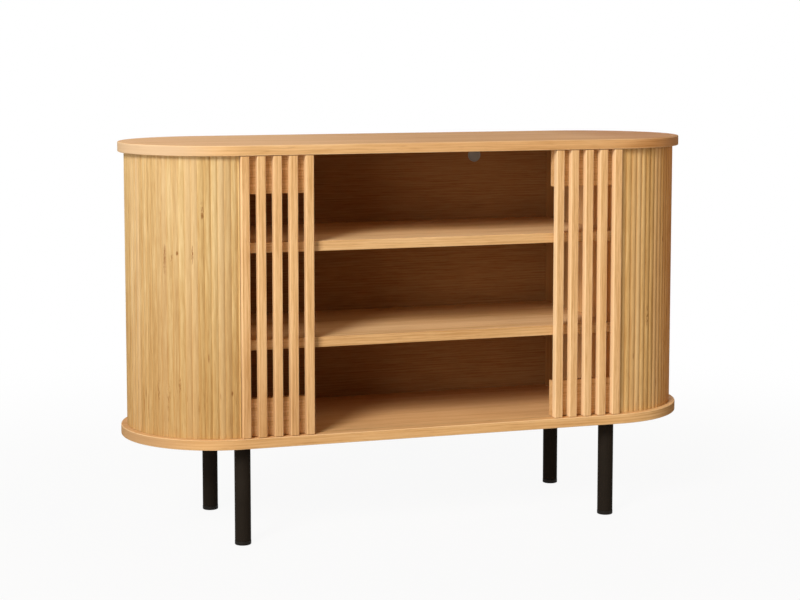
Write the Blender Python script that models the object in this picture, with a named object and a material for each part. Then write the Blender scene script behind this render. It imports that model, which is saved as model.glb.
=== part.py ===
"""Sideboard with half-round ends.

A stadium-shaped top and base hold two reeded tambour ends, two sliding slatted doors, side panels,
shelves and a back, on four round legs. Lengths are in metres. +Z is up, the front faces -Y and the
floor is at Z = 0.
"""

import math

import bmesh
import bpy

# Overall size
WIDTH = 1.200
DEPTH = 0.400
HEIGHT = 0.790

# Sheets
TOP_THICKNESS = 0.020
BASE_THICKNESS = 0.020
SHELF_THICKNESS = 0.020
SIDE_THICKNESS = 0.015
BACK_THICKNESS = 0.006
PANEL_EASE = 0.0015
SHEET_EASE = 0.001
SHELF_NAMES = ("lower", "upper")
BODY_FRONT_INSET = 0.021
BACK_INSET = 0.022

# Clearances
SEAT_GAP = 0.0003
FIT_GAP = 0.0003
SHELF_END_GAP = 0.0005
DOOR_GAP = 0.001
DOOR_END_GAP = 0.0005
GLIDE_PLAY = 0.0004
GLIDE_LIFT = 0.0015

# Slatted doors
SLAT_COUNT = 5
SLAT_WIDTH = 0.017
SLAT_DEPTH = 0.017
SLAT_PITCH = 0.032
SLAT_EASE = 0.0018
SLAT_INSET = 0.002
RAIL_HEIGHT = 0.074
RAIL_THICKNESS = 0.015
RAIL_EASE = 0.001
GLIDE_LENGTH = 0.020
GLIDE_THICKNESS = 0.0044
GLIDE_TENON = 0.008
GLIDE_END_INSET = 0.012
TRACK_DEPTH = 0.006

# Tambour ends
TAMBOUR_INSET = 0.0122
TAMBOUR_BACKING = 0.005
REED_WIDTH = 0.0131
REED_DEPTH = 0.0018
FIRST_REED = {"left": 0.25, "right": 1.0}
REED_STEPS = 6
TONGUE_THICKNESS = 0.004
TONGUE_LENGTH = 0.006

# Legs
LEG_HEIGHT = 0.200
LEG_RADIUS = 0.016
LEG_END_INSET = 0.210
LEG_FRONT_INSET = 0.051
LEG_EASE = 0.0008
FOOT_RADIUS = 0.0163
FOOT_HEIGHT = 0.008
FOOT_EASE = 0.0015
FOOT_STUB_RADIUS = 0.010
FOOT_STUB_LENGTH = 0.012
BOLT_RADIUS = 0.004
BOLT_IN_LEG = 0.030
BOLT_IN_BASE = 0.014

# Shelf pins and dowels
PIN_RADIUS = 0.0025
PIN_IN_SIDE = 0.008
PIN_OUT = 0.008
PIN_END_INSET = 0.045
DOWEL_RADIUS = 0.004
DOWEL_IN_SIDE = 0.018
DOWEL_IN_PANEL = 0.010
DOWEL_END_INSET = 0.060

# Cable grommet
GROMMET_X = 0.2135
GROMMET_DROP = 0.030
GROMMET_FLANGE_RADIUS = 0.0145
GROMMET_FLANGE_THICKNESS = 0.0015
GROMMET_PLUG_RADIUS = 0.012
GROMMET_PLUG_OUT = 0.002

# Roundness
END_STEPS = 48
CORNER_STEPS = 3
ROUND_STEPS = 24
BORE_STEPS = 16
CUT_OVERRUN = 0.005

# Levels and faces that several pieces share
END_RADIUS = DEPTH / 2
CURVE_START = WIDTH / 2 - END_RADIUS
FLOOR_Z = LEG_HEIGHT + BASE_THICKNESS
CEILING_Z = HEIGHT - TOP_THICKNESS
SIDE_INNER_X = CURVE_START - SIDE_THICKNESS
BODY_FRONT_Y = -DEPTH / 2 + BODY_FRONT_INSET
BACK_FRONT_Y = DEPTH / 2 - BACK_INSET - BACK_THICKNESS
SLAT_FRONT_Y = -DEPTH / 2 + SLAT_INSET
RAIL_FRONT_Y = SLAT_FRONT_Y + SLAT_DEPTH + SEAT_GAP
TRACK_Y = RAIL_FRONT_Y + RAIL_THICKNESS / 2
DOOR_OUTER_X = CURVE_START - DOOR_END_GAP
DOOR_INNER_X = DOOR_OUTER_X - (SLAT_COUNT - 1) * SLAT_PITCH - SLAT_WIDTH
RAIL_OUTER_X = SIDE_INNER_X - DOOR_GAP
CREST_RADIUS = END_RADIUS - TAMBOUR_INSET
VALLEY_RADIUS = CREST_RADIUS - REED_DEPTH
TAMBOUR_INNER_RADIUS = VALLEY_RADIUS - TAMBOUR_BACKING

SIDES = {"left": -1, "right": 1}
ENDS = {"front": -1, "rear": 1}

# Where a point of an outline (a, b) lies at a place t along each axis
ALONG = {
    "X": lambda a, b, t: (t, a, b),
    "Y": lambda a, b, t: (a, t, b),
    "Z": lambda a, b, t: (a, b, t),
}

# Finishes: base colour, roughness and metallic value
OAK = ((0.68, 0.39, 0.16), 0.5, 0.0)
BAMBOO = ((0.75, 0.49, 0.21), 0.5, 0.0)
BLACK_PAINT = ((0.012, 0.011, 0.010), 0.4, 0.0)
BLACK_PLASTIC = ((0.015, 0.015, 0.015), 0.5, 0.0)
GREY_PLASTIC = ((0.09, 0.09, 0.08), 0.5, 0.0)
BEECH = ((0.62, 0.40, 0.22), 0.6, 0.0)
STEEL = ((0.55, 0.55, 0.56), 0.35, 1.0)


def clear_scene():
    for obj in list(bpy.data.objects):
        bpy.data.objects.remove(obj, do_unlink=True)


def material(name, finish):
    colour, roughness, metallic = finish
    made = bpy.data.materials.new(name)
    made.use_nodes = True
    shader = made.node_tree.nodes["Principled BSDF"]
    shader.inputs["Base Color"].default_value = (*colour, 1.0)
    shader.inputs["Roughness"].default_value = roughness
    shader.inputs["Metallic"].default_value = metallic
    return made


def add_object(name, shape, location=(0, 0, 0), parent=None):
    """Links a new object that holds the bmesh, with its faces pointing out."""
    bmesh.ops.recalc_face_normals(shape, faces=shape.faces)
    mesh = bpy.data.meshes.new(name)
    shape.to_mesh(mesh)
    shape.free()
    obj = bpy.data.objects.new(name, mesh)
    obj.location = location
    obj.parent = parent
    bpy.context.scene.collection.objects.link(obj)
    return obj


def add_part(name, shape, finish, location=(0, 0, 0), parent=None):
    obj = add_object(name, shape, location, parent)
    obj.data.materials.append(material(name, finish))
    obj.data.shade_smooth()
    obj.data.set_sharp_from_angle(angle=math.radians(30))
    return obj


def cut(obj, shapes):
    """Cuts the placed shapes out of an object."""
    whole = bmesh.new()
    for shape, offset in shapes:
        bmesh.ops.translate(shape, vec=offset, verts=shape.verts)
        piece = bpy.data.meshes.new("cutter_piece")
        shape.to_mesh(piece)
        shape.free()
        whole.from_mesh(piece)
        bpy.data.meshes.remove(piece)
    cutter = add_object(obj.name + "_cutter", whole)
    cutter.hide_render = True
    cutter.display_type = "WIRE"
    modifier = obj.modifiers.new("cuts", "BOOLEAN")
    modifier.operation = "DIFFERENCE"
    modifier.solver = "EXACT"
    modifier.object = cutter


def loft(rings):
    """A closed body through rings of equally many points, with flat ends."""
    shape = bmesh.new()
    loops = [[shape.verts.new(point) for point in ring] for ring in rings]
    for low, high in zip(loops, loops[1:]):
        for i in range(len(low)):
            j = (i + 1) % len(low)
            shape.faces.new((low[i], low[j], high[j], high[i]))
    shape.faces.new(loops[0][::-1])
    shape.faces.new(loops[-1])
    return shape


def prism(outline, length, axis):
    """An outline in the plane across an axis, extruded evenly to both sides of its middle."""
    return loft([[ALONG[axis](a, b, t) for a, b in outline] for t in (-length / 2, length / 2)])


def rectangle(width, height, ease=0.0):
    """A rectangle about the middle, with rounded corners where ease is given."""
    corners = [(1, 1, 0), (-1, 1, 90), (-1, -1, 180), (1, -1, 270)]
    if not ease:
        return [(sx * width / 2, sy * height / 2) for sx, sy, _ in corners]
    outline = []
    for sx, sy, start in corners:
        for step in range(CORNER_STEPS + 1):
            angle = math.radians(start + 90 * step / CORNER_STEPS)
            x = sx * (width / 2 - ease) + ease * math.cos(angle)
            y = sy * (height / 2 - ease) + ease * math.sin(angle)
            outline.append((x, y))
    return outline


def box(size_x, size_y, size_z):
    return prism(rectangle(size_x, size_y), size_z, "Z")


def turned(profile, axis="Z", steps=ROUND_STEPS):
    """A body turned from (radius, height) points, with flat ends."""
    angles = [2 * math.pi * i / steps for i in range(steps)]
    return loft([[ALONG[axis](r * math.cos(a), r * math.sin(a), h) for a in angles] for r, h in profile])


def rod(radius, length, axis="Z", steps=BORE_STEPS):
    return turned([(radius, -length / 2), (radius, length / 2)], axis, steps)


def stadium(inset):
    """The outline of the top and the base, drawn in by an inset."""
    radius = END_RADIUS - inset
    outline = []
    for side in (1, -1):
        for step in range(END_STEPS + 1):
            angle = math.pi * (step / END_STEPS - 0.5)
            reach = CURVE_START + radius * math.cos(angle)
            outline.append((side * reach, side * radius * math.sin(angle)))
    return outline


def stadium_panel(thickness):
    half = thickness / 2
    levels = [(-half, PANEL_EASE), (PANEL_EASE - half, 0), (half - PANEL_EASE, 0), (half, PANEL_EASE)]
    return loft([[(x, y, z) for x, y in stadium(inset)] for z, inset in levels])


def reed_count():
    return round(math.pi * CREST_RADIUS / REED_WIDTH)


def end_point(side, radius, angle, z):
    """A point around a half-round end: angle 0 is at the front, pi at the back."""
    return (side * (CURVE_START + radius * math.sin(angle)), -radius * math.cos(angle), z)


def reed_stations(name):
    """The angles across each reed, the first valley between two reeds and the pitch.

    The sheet is cut to length anywhere in a reed, so its first and last reeds may be narrower.
    """
    start = math.asin(DOOR_END_GAP / TAMBOUR_INNER_RADIUS)
    pitch = (math.pi - 2 * start) / reed_count()
    valleys = [i + FIRST_REED[name] for i in range(reed_count()) if i + FIRST_REED[name] < reed_count()]
    bounds = [start + pitch * place for place in (0, *valleys, reed_count())]
    stations = []
    for low, high in zip(bounds, bounds[1:]):
        stations.append([low + (high - low) * step / REED_STEPS for step in range(REED_STEPS + 1)])
    return stations, bounds[1], pitch


def reed_radius(angle, valley, pitch):
    """The radius of the reeded face: each reed is a low circular arc between two valleys."""
    half = REED_WIDTH / 2
    arc = (half ** 2 + REED_DEPTH ** 2) / (2 * REED_DEPTH)
    phase = (angle - valley) / pitch
    across = (0.5 - min(abs(phase - round(phase)), 0.5)) * REED_WIDTH
    return VALLEY_RADIUS + math.sqrt(arc ** 2 - across ** 2) - (arc - REED_DEPTH)


def tambour_shape(name, levels):
    """A reeded sheet around one end, with a thinner tongue above and below it."""
    tongue_low, body_low, body_high, tongue_high = levels
    tongue_radius = TAMBOUR_INNER_RADIUS + TONGUE_THICKNESS
    stations, valley, pitch = reed_stations(name)
    side = SIDES[name]
    shape = bmesh.new()

    def column(radius, angle, heights):
        return [shape.verts.new(end_point(side, radius, angle, z)) for z in heights]

    def edge_columns(angle):
        inner = column(TAMBOUR_INNER_RADIUS, angle, (tongue_low, tongue_high))
        tongue = column(tongue_radius, angle, levels)
        face = column(reed_radius(angle, valley, pitch), angle, (body_low, body_high))
        return inner, tongue, face

    first = here = edge_columns(stations[0][0])
    for angles in stations:
        there = edge_columns(angles[-1])
        middle = [column(reed_radius(a, valley, pitch), a, (body_low, body_high)) for a in angles[1:-1]]
        faces = [here[2], *middle, there[2]]
        for a, b in zip(faces, faces[1:]):
            shape.faces.new((a[0], b[0], b[1], a[1]))
        shape.faces.new((here[0][0], there[0][0], there[0][1], here[0][1]))
        for low, high in ((0, 1), (2, 3)):
            shape.faces.new((here[1][low], there[1][low], there[1][high], here[1][high]))
        for end in (0, 1):
            tongue_end, ledge = (0, 1) if end == 0 else (3, 2)
            shape.faces.new((here[0][end], there[0][end], there[1][tongue_end], here[1][tongue_end]))
            shape.faces.new([here[1][ledge], *(pair[end] for pair in faces), there[1][ledge]])
        here = there
    for inner, tongue, face in (first, here):
        shape.faces.new((inner[0], tongue[0], tongue[1], face[0], face[1], tongue[2], tongue[3], inner[1]))
    return shape


def tongue_groove(name, depth):
    """The half-round groove that takes a tambour's tongue, centred on its panel's face."""
    stations, _, _ = reed_stations(name)
    angles = [0.0, *(across[-1] for across in stations[:-1]), math.pi]
    low = TAMBOUR_INNER_RADIUS - FIT_GAP
    high = TAMBOUR_INNER_RADIUS + TONGUE_THICKNESS + FIT_GAP
    rings = []
    for angle in angles:
        corners = ((low, -depth), (high, -depth), (high, depth), (low, depth))
        rings.append([end_point(SIDES[name], radius, angle, z) for radius, z in corners])
    return loft(rings)


def track_groove():
    """The straight groove that the door glides run in, centred on its panel's face."""
    return box(2 * RAIL_OUTER_X, GLIDE_THICKNESS + 2 * GLIDE_PLAY, 2 * TRACK_DEPTH)


def dowel_spots():
    middle_x = CURVE_START - SIDE_THICKNESS / 2
    ends = {"front": BODY_FRONT_Y + DOWEL_END_INSET, "rear": BACK_FRONT_Y - DOWEL_END_INSET}
    return {(s, e): (sign * middle_x, y) for s, sign in SIDES.items() for e, y in ends.items()}


def leg_spots():
    x = WIDTH / 2 - LEG_END_INSET
    y = DEPTH / 2 - LEG_FRONT_INSET
    return {(s, e): (sx * x, sy * y) for s, sx in SIDES.items() for e, sy in ENDS.items()}


def shelf_levels():
    """The undersides of the shelves, which share the height evenly."""
    count = len(SHELF_NAMES)
    clear = (CEILING_Z - FLOOR_Z - count * SHELF_THICKNESS) / (count + 1)
    return {name: FLOOR_Z + clear + i * (clear + SHELF_THICKNESS) for i, name in enumerate(SHELF_NAMES)}


def pin_spots():
    """Where the shelf pins stand in the side panels: (Y, Z) under each shelf's ends."""
    ends = {"front": BODY_FRONT_Y + PIN_END_INSET, "rear": BACK_FRONT_Y - PIN_END_INSET}
    spots = {}
    for name, level in shelf_levels().items():
        for end, y in ends.items():
            spots[(name, end)] = (y, level - SEAT_GAP - PIN_RADIUS)
    return spots


def groove_cuts(face_z):
    """The grooves and dowel holes that the base and the top share, about one face."""
    hole = DOWEL_IN_PANEL + FIT_GAP
    cuts = [(tongue_groove(name, TONGUE_LENGTH + FIT_GAP), (0, 0, face_z)) for name in SIDES]
    cuts.append((track_groove(), (0, TRACK_Y, face_z)))
    for x, y in dowel_spots().values():
        cuts.append((rod(DOWEL_RADIUS + FIT_GAP, 2 * hole), (x, y, face_z)))
    return cuts


def build_panels():
    base_z = LEG_HEIGHT + BASE_THICKNESS / 2
    base = add_part("base_panel", stadium_panel(BASE_THICKNESS), OAK, (0, 0, base_z))
    bolt_hole = BOLT_IN_BASE + FIT_GAP
    bolt_holes = [
        (rod(BOLT_RADIUS + FIT_GAP, 2 * bolt_hole), (x, y, LEG_HEIGHT)) for x, y in leg_spots().values()
    ]
    cut(base, groove_cuts(FLOOR_Z) + bolt_holes)
    top = add_part("top_panel", stadium_panel(TOP_THICKNESS), OAK, (0, 0, HEIGHT - TOP_THICKNESS / 2))
    cut(top, groove_cuts(CEILING_Z))


def build_tambours():
    levels = (
        FLOOR_Z - TONGUE_LENGTH,
        FLOOR_Z + SEAT_GAP,
        CEILING_Z - SEAT_GAP,
        CEILING_Z + TONGUE_LENGTH,
    )
    for name in SIDES:
        add_part(name + "_tambour", tambour_shape(name, levels), BAMBOO)


def build_side_panels():
    depth = BACK_FRONT_Y - SEAT_GAP - BODY_FRONT_Y
    height = CEILING_Z - FLOOR_Z - 2 * SEAT_GAP
    middle_y = BODY_FRONT_Y + depth / 2
    for name, sign in SIDES.items():
        place = (sign * (SIDE_INNER_X + SIDE_THICKNESS / 2), middle_y, FLOOR_Z + SEAT_GAP + height / 2)
        outline = rectangle(SIDE_THICKNESS, depth, SHEET_EASE)
        panel = add_part(name + "_side_panel", prism(outline, height, "Z"), OAK, place)
        pin_hole = PIN_IN_SIDE + FIT_GAP
        cuts = [
            (rod(PIN_RADIUS + FIT_GAP, 2 * pin_hole, "X"), (sign * SIDE_INNER_X, y, z))
            for y, z in pin_spots().values()
        ]
        dowel_hole = DOWEL_IN_SIDE + SEAT_GAP + FIT_GAP
        for (side, _), (x, y) in dowel_spots().items():
            if side == name:
                for z in (FLOOR_Z, CEILING_Z):
                    cuts.append((rod(DOWEL_RADIUS + FIT_GAP, 2 * dowel_hole), (x, y, z)))
        cut(panel, cuts)


def build_dowels():
    length = DOWEL_IN_SIDE + DOWEL_IN_PANEL
    shift = (DOWEL_IN_SIDE - DOWEL_IN_PANEL) / 2
    for (side, end), (x, y) in dowel_spots().items():
        for level, z in (("lower", FLOOR_Z + shift), ("upper", CEILING_Z - shift)):
            add_part(f"{side}_{level}_{end}_dowel", rod(DOWEL_RADIUS, length), BEECH, (x, y, z))


def build_shelves():
    length = 2 * (SIDE_INNER_X - SHELF_END_GAP)
    depth = BACK_FRONT_Y - SEAT_GAP - BODY_FRONT_Y
    outline = rectangle(depth, SHELF_THICKNESS, SHEET_EASE)
    for name, level in shelf_levels().items():
        place = (0, BODY_FRONT_Y + depth / 2, level + SHELF_THICKNESS / 2)
        add_part(name + "_shelf", prism(outline, length, "X"), OAK, place)
    for (shelf, end), (y, z) in pin_spots().items():
        for side, sign in SIDES.items():
            x = sign * (SIDE_INNER_X + (PIN_IN_SIDE - PIN_OUT) / 2)
            pin = rod(PIN_RADIUS, PIN_IN_SIDE + PIN_OUT, "X")
            add_part(f"{shelf}_shelf_{side}_{end}_pin", pin, STEEL, (x, y, z))


def build_back():
    width = 2 * (CURVE_START - SEAT_GAP)
    height = CEILING_Z - FLOOR_Z - 2 * SEAT_GAP
    place = (0, BACK_FRONT_Y + BACK_THICKNESS / 2, (CEILING_Z + FLOOR_Z) / 2)
    back = add_part("back_panel", box(width, BACK_THICKNESS, height), OAK, place)
    hole_z = CEILING_Z - GROMMET_DROP
    hole = rod(GROMMET_PLUG_RADIUS + FIT_GAP, BACK_THICKNESS + 2 * CUT_OVERRUN, "Y", ROUND_STEPS)
    cut(back, [(hole, (GROMMET_X, place[1], hole_z))])
    flange_back = -SEAT_GAP
    flange_front = flange_back - GROMMET_FLANGE_THICKNESS
    plug_end = BACK_THICKNESS + GROMMET_PLUG_OUT
    profile = [
        (GROMMET_FLANGE_RADIUS - GROMMET_FLANGE_THICKNESS / 2, flange_front),
        (GROMMET_FLANGE_RADIUS, flange_front + GROMMET_FLANGE_THICKNESS / 2),
        (GROMMET_FLANGE_RADIUS, flange_back),
        (GROMMET_PLUG_RADIUS, flange_back),
        (GROMMET_PLUG_RADIUS, plug_end),
    ]
    add_part("cable_grommet", turned(profile, "Y"), GREY_PLASTIC, (GROMMET_X, BACK_FRONT_Y, hole_z))


def build_door(name, sign):
    """One slatted door. Its empty lies on the line that the door slides along."""
    low = FLOOR_Z + DOOR_GAP
    high = CEILING_Z - DOOR_GAP
    centre = (sign * (DOOR_INNER_X + DOOR_OUTER_X) / 2, TRACK_Y, (low + high) / 2)
    pivot = bpy.data.objects.new(name + "_door_slide", None)
    pivot.location = centre
    bpy.context.scene.collection.objects.link(pivot)

    slat_outline = rectangle(SLAT_WIDTH, SLAT_DEPTH, SLAT_EASE)
    for i in range(SLAT_COUNT):
        x = sign * (DOOR_INNER_X + SLAT_WIDTH / 2 + i * SLAT_PITCH) - centre[0]
        place = (x, SLAT_FRONT_Y + SLAT_DEPTH / 2 - centre[1], 0)
        add_part(f"{name}_door_slat_{i + 1}", prism(slat_outline, high - low, "Z"), OAK, place, pivot)

    rail_length = RAIL_OUTER_X - DOOR_INNER_X
    rail_x = sign * (DOOR_INNER_X + rail_length / 2)
    rail_outline = rectangle(RAIL_THICKNESS, RAIL_HEIGHT, RAIL_EASE)
    glide_reach = rail_length / 2 - GLIDE_END_INSET - GLIDE_LENGTH / 2
    for level, edge, end in (
        ("bottom", low, FLOOR_Z - TRACK_DEPTH + SEAT_GAP),
        ("top", high, CEILING_Z + TRACK_DEPTH - GLIDE_LIFT),
    ):
        inward = 1 if level == "bottom" else -1
        rail_z = edge + inward * RAIL_HEIGHT / 2
        place = (rail_x - centre[0], 0, rail_z - centre[2])
        rail_shape = prism(rail_outline, rail_length, "X")
        rail = add_part(f"{name}_door_{level}_rail", rail_shape, OAK, place, pivot)
        tenon_end = edge + inward * GLIDE_TENON
        glide_height = abs(tenon_end - end)
        mortises = []
        for number, shift in ((1, -glide_reach), (2, glide_reach)):
            x = rail_x + sign * shift
            glide = prism(rectangle(GLIDE_LENGTH, GLIDE_THICKNESS), glide_height, "Z")
            spot = (x - centre[0], 0, (tenon_end + end) / 2 - centre[2])
            add_part(f"{name}_door_{level}_glide_{number}", glide, BLACK_PLASTIC, spot, pivot)
            mortise_length = GLIDE_LENGTH + 2 * FIT_GAP
            mortise_width = GLIDE_THICKNESS + 2 * FIT_GAP
            mortise = box(mortise_length, mortise_width, 2 * (GLIDE_TENON + FIT_GAP))
            mortises.append((mortise, (x, TRACK_Y, edge)))
        cut(rail, mortises)


def build_leg(name, x, y):
    leg_low = FOOT_HEIGHT + SEAT_GAP
    leg_high = LEG_HEIGHT - SEAT_GAP
    stub_hole = FOOT_STUB_RADIUS + FIT_GAP
    stub_top = FOOT_HEIGHT + FOOT_STUB_LENGTH
    bolt_hole = BOLT_RADIUS + FIT_GAP
    bolt_low = LEG_HEIGHT - BOLT_IN_LEG
    leg_profile = [
        (stub_hole, stub_top + FIT_GAP),
        (stub_hole, leg_low),
        (LEG_RADIUS - LEG_EASE, leg_low),
        (LEG_RADIUS, leg_low + LEG_EASE),
        (LEG_RADIUS, leg_high - LEG_EASE),
        (LEG_RADIUS - LEG_EASE, leg_high),
        (bolt_hole, leg_high),
        (bolt_hole, bolt_low - FIT_GAP),
    ]
    add_part(name + "_leg", turned(leg_profile), BLACK_PAINT, (x, y, 0))
    foot_profile = [
        (FOOT_RADIUS - FOOT_EASE, 0),
        (FOOT_RADIUS, FOOT_EASE),
        (FOOT_RADIUS, FOOT_HEIGHT),
        (FOOT_STUB_RADIUS, FOOT_HEIGHT),
        (FOOT_STUB_RADIUS, stub_top),
    ]
    add_part(name + "_foot", turned(foot_profile), BLACK_PLASTIC, (x, y, 0))
    bolt_length = BOLT_IN_LEG + BOLT_IN_BASE
    add_part(name + "_leg_bolt", rod(BOLT_RADIUS, bolt_length), STEEL, (x, y, bolt_low + bolt_length / 2))


def build_sideboard():
    clear_scene()
    build_panels()
    build_tambours()
    build_side_panels()
    build_dowels()
    build_shelves()
    build_back()
    for name, sign in SIDES.items():
        build_door(name, sign)
    for (side, end), (x, y) in leg_spots().items():
        build_leg(f"{side}_{end}", x, y)


build_sideboard()
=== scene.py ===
"""Looks of the sideboard with half-round ends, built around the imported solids.

Lengths are in metres.
"""

import math

import bmesh
import bpy
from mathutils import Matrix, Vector


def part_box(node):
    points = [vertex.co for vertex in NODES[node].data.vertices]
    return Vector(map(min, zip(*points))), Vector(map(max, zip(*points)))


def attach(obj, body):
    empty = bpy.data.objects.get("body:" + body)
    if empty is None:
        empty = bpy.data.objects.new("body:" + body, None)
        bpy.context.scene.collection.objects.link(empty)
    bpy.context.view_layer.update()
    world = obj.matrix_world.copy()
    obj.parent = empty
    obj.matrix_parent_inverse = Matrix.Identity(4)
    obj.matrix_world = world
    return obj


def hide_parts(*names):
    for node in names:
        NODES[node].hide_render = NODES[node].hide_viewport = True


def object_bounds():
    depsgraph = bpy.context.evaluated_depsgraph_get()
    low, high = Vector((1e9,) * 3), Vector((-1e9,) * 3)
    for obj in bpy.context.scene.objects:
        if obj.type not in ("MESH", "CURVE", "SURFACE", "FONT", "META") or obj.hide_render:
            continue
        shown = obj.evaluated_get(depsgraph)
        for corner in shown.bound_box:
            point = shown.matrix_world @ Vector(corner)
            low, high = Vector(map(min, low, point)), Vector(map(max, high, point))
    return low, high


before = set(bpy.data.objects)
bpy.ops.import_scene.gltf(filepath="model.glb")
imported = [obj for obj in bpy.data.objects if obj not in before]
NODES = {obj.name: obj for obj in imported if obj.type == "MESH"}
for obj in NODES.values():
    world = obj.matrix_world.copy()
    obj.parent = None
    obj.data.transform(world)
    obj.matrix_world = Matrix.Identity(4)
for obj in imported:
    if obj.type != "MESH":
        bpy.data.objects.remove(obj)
CAD_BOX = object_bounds()

SIDES = {"left": -1, "right": 1}
ENDS = ("front", "rear")
SLATS = 5

# Outline of the top and the base
END_RADIUS = 0.200
CURVE_START = 0.400
BOARD_EASE = 0.0018
END_STEPS = 80
EASE_STEPS = 4

# Reeded tambour ends
REEDS = 45
REED_STEPS = 12
CREST_RADIUS = 0.1878
REED_DEPTH = 0.0018
BACKING = 0.005
EDGE_GAP = 0.0005
VALLEY_RADIUS = CREST_RADIUS - REED_DEPTH
INNER_RADIUS = VALLEY_RADIUS - BACKING
REED_START = math.asin(EDGE_GAP / INNER_RADIUS)
REED_PITCH = (math.pi - 2 * REED_START) / REEDS
FIRST_REED = {"left": 0.25, "right": 1.0}

# Door tracks
TRACK_WIDTH = 0.0052
TRACK_DEPTH = 0.006
TRACK_REACH = 0.384

# Slats, panels, legs and feet
SLAT_EASE = 0.0021
SLAT_END_EASE = 0.0003
SLAT_SMOOTH = 50.0
CORNER_STEPS = 4
PANEL_EASE = 0.0008
PANEL_EASE_STEPS = 2
FACE_WEIGHT = 100
ROUND_STEPS = 64
LEG_EASE = 0.0010
FOOT_EASE = 0.0016
UPPER_EASE = 0.0006

# Cable grommet, with its eases as the part across and the part in depth
GROMMET_RIM = 0.0035
GROMMET_LIP = 0.0025
GROMMET_FLANGE = 0.0015
GROMMET_WALL = 0.0015
RIM_INNER_EASE = (0.0004, 0.0003)
RIM_OUTER_EASE = (0.0008, 0.0007)
LID_GAP = 0.0003
LID_SEAT = 0.0012
LID_SET_BACK = 0.0001
LID_THICKNESS = 0.0010
LID_EASE = 0.0004
LID_BACK_EASE = 0.0001

# Screws in the back, placed by shares of a panel's height or a shelf's length. A head's profile
# gives shares of its radius and heights over the back.
SCREW_RADIUS = 0.0035
SCREW_STEPS = 20
PANEL_SCREWS = (0.06, 0.28, 0.5, 0.72, 0.94)
SHELF_SCREWS = (0.25, 0.5, 0.75)
SCREW_HEAD = ((1.0, 0.0001), (1.0, 0.0006), (0.85, 0.0014), (0.45, 0.0018), (0.30, 0.0009))

# Where most values of a noise lie
NOISE_SPREAD = (0.3, 0.7)

# Wood grain: stretch along the grain, noise scales and each part's share of the tone
LONG_GRAIN = 0.035
LONG_SWAY = 0.2
GRAIN_SWAY = 0.006
SWAY_SCALE = 26.0
BROAD_SCALE = 16.0
BROAD_SHARE = 0.32
STREAK_SCALE = 130.0
STREAK_SHARE = 0.62
FIBRE_SCALE = 560.0
RING_PITCH = 0.0055
RING_BEND = 22.0
RING_LINES = 0.032
PORE_STRETCH = 1.6
PORE_SCALE = 620.0
PORE_MASK = (0.60, 0.74)
PORE_DEPTH = 0.5
WOOD_SHINE = (0.06, -0.05)
WOOD_BUMP = (0.25, 0.0004)
PIECE_SHIFT = (3.1, 7.7, 5.3)

# Oak. A range holds where a share begins and is full, then the shares there if not 0 and 1.
OAK_STOPS = (0.38, 0.50, 0.62)
OAK_PORES = 0.35
# Painted highlight on the slats' eased edges and painted light on their flat sides, stronger on the
# right door
SLAT_EDGES = (0.1, 0.5, 0.0, 0.65)
SLAT_FLANKS = (0.90, 0.99, 1.0, 1.54)
RIGHT_SLATS = (-0.1, 0.1, 0.5, 1.0)
# Where the painted shade on the lower part of the left door's slats begins and is full
LEFT_SLATS = (-0.10, -0.34)
LOW_SLATS = (0.48, 0.24)
# Where the painted shade towards the side panels' rear begins and is full
REAR_PART = (-0.02, 0.14)
# Where the painted light on upper faces towards the front begins and is full, by depth and by
# facing
FRONT_PART = (0.06, -0.12)
UPPER_SIDE = (0.75, 0.95)

# Top and base
FACE_LIMIT = 0.75
# Share of the painted shade on the boards' large faces
FACE_SHADE_SHARE = 0.35
# Where the painted light on the large faces turns from its left to its right value
FACE_TURN = (-0.30, 0.15)
# Where the painted light and shade along the boards change, to the middle and at the right end
RIGHT_OF_MIDDLE = (-0.30, 0.10, 0.0, 0.4)
RIGHT_END = (0.34, 0.50, 0.0, 0.6)
BAND_LAYER = 0.37
BAND_FINENESS = 0.8
# Where the painted light or shade on the ends begins and is full, by the turn of the edge, and its
# share
BAND_TURN = (0.3, 0.9)
PALE_BAND_TURN = (0.05, 0.70)
END_PAINT_SHARE = 0.8
# Painted highlight along the boards' eased edges: where it begins, where it ends and its share
EASE_BEGIN = (0.10, 0.35)
EASE_FINISH = (0.98, 0.90)
EASE_HIGHLIGHT_SHARE = 0.45

# Bamboo. A noise holds its stretch along the strip, scale, detail and roughness.
BAMBOO_STOPS = (0.34, 0.50, 0.66)
BAMBOO_PORES = 0.30
TONE_SEED = 3.7
TONE_SHARE = 0.11
PINK_SEED = 41.3
PINK_STRIPS = (0.4, 1.0, 0.0, 0.4)
STRIP_LAYER = 0.61
STRIP_SLIDE = 4.0
PATCHES = (0.08, 230.0, 3.0, 0.6)
PATCH_SHARE = 0.22
DASHES = (0.07, 230.0, 2.0, 0.55)
DASH_LIMIT = (0.56, 0.28, 0.72, 0.63)
DASH_MASK = (0.0, 0.09, 0.0, 0.6)
# Where the painted shade at a sheet's far end rises and falls, by angle
FAR_RISE = (0.40, 0.92)
FAR_FALL = (1.15, 2.0, 1.0, 0.3)
# Painted light above and painted shade below on the sheets: edge noise, heights and share for each
# sheet
FADE_EDGE = 0.12
FADE_HEIGHT = (0.26, 0.80)
FADE_PAINT_SHARE = {"left": 0.9, "right": 0.0}
# Painted light in the left sheet's grooves and painted shade in the right sheet's grooves
GROOVE_REACH = 0.24
GROOVE_SHARE = {"left": 0.6, "right": 0.5}
WOBBLE_SCALE = 160.0
WOBBLE = 1.1
KNOT_EDGE = (1.15, 0.35)
DOTS = (0.20, 620.0, 1.0)
DOT_MASK = (0.51, 0.61)
SPECK_EDGE = (1.0, 0.4, 0.0, 0.85)

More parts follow.
